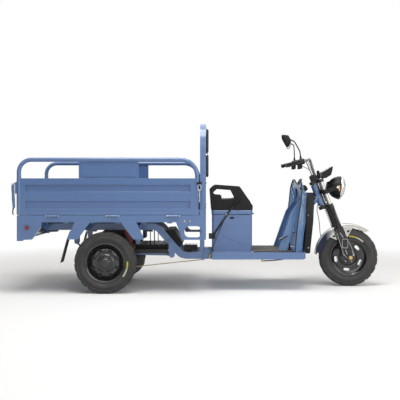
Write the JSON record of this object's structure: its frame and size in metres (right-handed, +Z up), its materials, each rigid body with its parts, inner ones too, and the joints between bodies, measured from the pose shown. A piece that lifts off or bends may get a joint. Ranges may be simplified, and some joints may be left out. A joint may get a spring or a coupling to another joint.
{
  "type": "electric cargo tricycle",
  "caption": "Open cargo tricycle with tipping bed, drop sides and tailgate, battery seat box, floor, leg shield and sprung fork.",
  "frame": {"origin": "on the ground, below the middle of the machine", "axes": "+X forward, +Y left, +Z up"},
  "size_m": [3.068, 1.042, 1.39],
  "materials": {
    "blue_paint": "semi-gloss blue enamel",
    "black_paint": "satin black",
    "black_casting": "rough black",
    "black_steel": "gloss black wheel paint",
    "black_alloy": "satin black wheel paint",
    "spring_steel": "black oiled steel",
    "damper_red": "dull red",
    "zinc": "yellow zinc",
    "chrome": "bright",
    "black_plastic": "moulded, fine grain",
    "battery_case": "moulded",
    "mat_rubber": "ribbed",
    "flap_rubber": "dull",
    "tyre": "road rubber",
    "pad_vinyl": "grained vinyl",
    "red_lens": "ribbed lens",
    "lamp_glass": "clear"
  },
  "bodies": {
    "chassis": {"chassis_frame": "blue_paint", "rear_axle": "black_paint", "drive_motor": "black_casting", "leaf_springs": "spring_steel", "dampers": "damper_red", "underbed_covers": "black_plastic", "floor_pan": "blue_paint", "floor_mat": "mat_rubber", "battery_box": "blue_paint", "battery_pack": "battery_case", "leg_shield": "blue_paint", "front_cover": "black_plastic", "brake_pedal": "black_paint", "brake_linkage": "zinc", "parking_lever": "black_paint", "tow_eye": "zinc"},
    "steering": {"fork_yokes": "black_paint", "fork_stanchions": "chrome", "fork_springs": "black_paint", "fork_lowers": "black_paint", "front_fender": "chrome", "handlebar": "chrome", "bar_controls": "black_plastic", "mirrors": "black_plastic", "headlamp_shell": "black_plastic", "headlamp_lens": "lamp_glass", "instrument": "black_plastic"},
    "front_wheel": {"front_tyre": "tyre", "front_rim": "black_alloy"},
    "rear_wheel_right": {"rear_tyre_right": "tyre", "rear_rim_right": "black_steel"},
    "rear_wheel_left": {"rear_tyre_left": "tyre", "rear_rim_left": "black_steel"},
    "bed": {"bed_floor": "blue_paint", "bed_skirts": "blue_paint", "rear_lamps": "red_lens", "mud_flaps": "flap_rubber", "headboard": "blue_paint", "backrest_pads": "pad_vinyl"},
    "side_board_right": {"side_board_right": "blue_paint"},
    "side_board_left": {"side_board_left": "blue_paint"},
    "tailgate": {"tailgate": "blue_paint"},
    "seat_lid": {"seat_lid": "blue_paint", "seat_cushion": "pad_vinyl", "seat_arms": "black_plastic"}
  },
  "joints": [
    {"name": "steer", "type": "hinge", "parent": "chassis", "child": "steering", "pos_m": [1.01435, 0, 0.793], "axis": [-0.3584, 0, 0.9336], "range_deg": [-38, 38]},
    {"name": "front_wheel_roll", "type": "hinge", "parent": "steering", "child": "front_wheel", "pos_m": [1.282, 0, 0.252], "axis": [0, 1, 0], "continuous": true},
    {"name": "rear_wheel_right_roll", "type": "hinge", "parent": "chassis", "child": "rear_wheel_right", "pos_m": [-0.779, -0.445, 0.25], "axis": [0, 1, 0], "continuous": true},
    {"name": "rear_wheel_left_roll", "type": "hinge", "parent": "chassis", "child": "rear_wheel_left", "pos_m": [-0.779, 0.445, 0.25], "axis": [0, 1, 0], "continuous": true},
    {"name": "bed_tip", "type": "hinge", "parent": "chassis", "child": "bed", "pos_m": [-1.31, 0, 0.535], "axis": [0, -1, 0], "range_deg": [0, 45]},
    {"name": "side_board_right_drop", "type": "hinge", "parent": "bed", "child": "side_board_right", "pos_m": [-0.7545, -0.514, 0.63], "axis": [1, 0, 0], "range_deg": [0, 175]},
    {"name": "side_board_left_drop", "type": "hinge", "parent": "bed", "child": "side_board_left", "pos_m": [-0.7545, 0.514, 0.63], "axis": [-1, 0, 0], "range_deg": [0, 175]},
    {"name": "tailgate_drop", "type": "hinge", "parent": "bed", "child": "tailgate", "pos_m": [-1.502, 0, 0.63], "axis": [0, -1, 0], "range_deg": [0, 175]},
    {"name": "seat_lid_lift", "type": "hinge", "parent": "chassis", "child": "seat_lid", "pos_m": [0.44, 0, 0.636], "axis": [0, 1, 0], "range_deg": [0, 45]}
  ]
}
